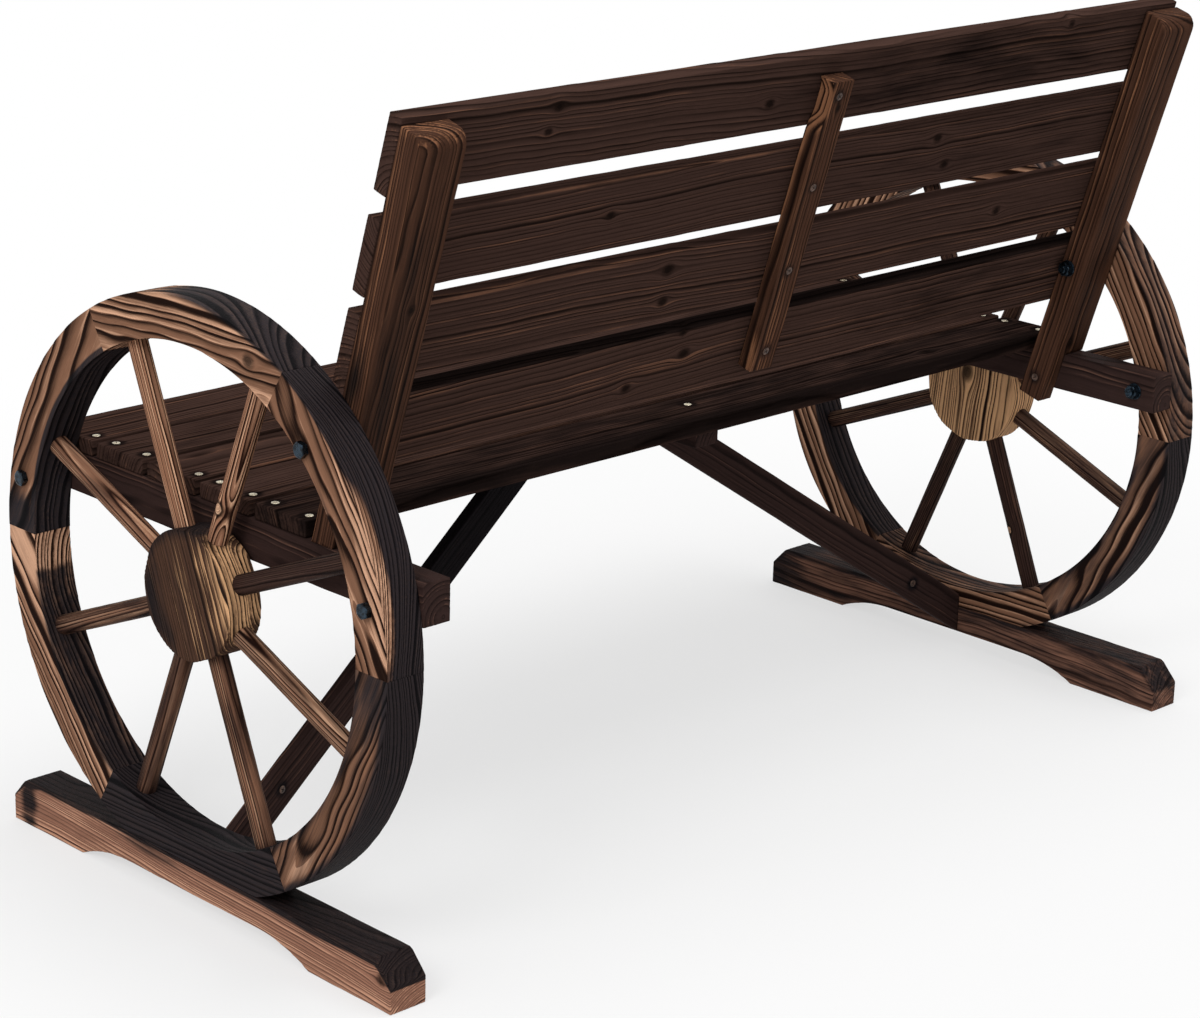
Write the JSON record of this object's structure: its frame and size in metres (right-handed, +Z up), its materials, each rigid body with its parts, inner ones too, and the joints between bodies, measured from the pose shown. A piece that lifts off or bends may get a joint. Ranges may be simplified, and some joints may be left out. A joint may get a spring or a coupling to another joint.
{
  "type": "wagon wheel bench",
  "caption": "Slatted timber garden bench with a leaning back, carried at each end by a spoked wooden wagon wheel that stands on a long arched foot.",
  "frame": {"origin": "middle of the footprint, on the ground", "axes": "+X towards the sitter's left, the seat faces -Y, +Z up"},
  "size_m": [1.1106, 0.548, 0.7527],
  "materials": {
    "foot_wood": "scorched and brushed fir, satin",
    "hub_wood": "scorched and brushed fir, satin",
    "rim_wood": "scorched and brushed fir, satin",
    "spoke_wood": "scorched fir dowel, satin",
    "frame_wood": "scorched and brushed fir, satin",
    "slat_wood": "scorched and brushed fir, satin",
    "post_wood": "scorched and brushed fir, satin",
    "dowel_wood": "plain beech",
    "black_steel": "blackened steel, semi-gloss",
    "bright_steel": "zinc-plated steel"
  },
  "bodies": {
    "root": {"left_foot": "foot_wood", "right_foot": "foot_wood", "left_hub": "hub_wood", "right_hub": "hub_wood", "left_felloe_1": "rim_wood", "left_felloe_2": "rim_wood", "left_felloe_3": "rim_wood", "left_felloe_4": "rim_wood", "left_felloe_5": "rim_wood", "left_felloe_6": "rim_wood", "right_felloe_1": "rim_wood", "right_felloe_2": "rim_wood", "right_felloe_3": "rim_wood", "right_felloe_4": "rim_wood", "right_felloe_5": "rim_wood", "right_felloe_6": "rim_wood", "left_spoke_1": "spoke_wood", "left_spoke_2": "spoke_wood", "left_spoke_3": "spoke_wood", "left_spoke_4": "spoke_wood", "left_spoke_5": "spoke_wood", "left_spoke_6": "spoke_wood", "left_spoke_7": "spoke_wood", "left_spoke_8": "spoke_wood", "right_spoke_1": "spoke_wood", "right_spoke_2": "spoke_wood", "right_spoke_3": "spoke_wood", "right_spoke_4": "spoke_wood", "right_spoke_5": "spoke_wood", "right_spoke_6": "spoke_wood", "right_spoke_7": "spoke_wood", "right_spoke_8": "spoke_wood", "left_rail": "frame_wood", "right_rail": "frame_wood", "centre_rail": "frame_wood", "seat_slat_1": "slat_wood", "seat_slat_2": "slat_wood", "seat_slat_3": "slat_wood", "seat_slat_4": "slat_wood", "seat_slat_5": "slat_wood", "left_post": "post_wood", "right_post": "post_wood", "back_slat_1": "slat_wood", "back_slat_2": "slat_wood", "back_slat_3": "slat_wood", "back_slat_4": "slat_wood", "back_batten": "post_wood", "left_brace": "frame_wood", "right_brace": "frame_wood", "rim_bolts": "black_steel", "rim_nuts": "black_steel", "rim_washers": "black_steel", "rim_dowels": "dowel_wood", "brace_dowels": "dowel_wood", "seat_screws": "bright_steel", "back_slat_screws": "black_steel", "batten_screws": "black_steel", "post_screws": "black_steel", "foot_screws": "bright_steel", "brace_screws": "black_steel"}
  },
  "joints": []
}
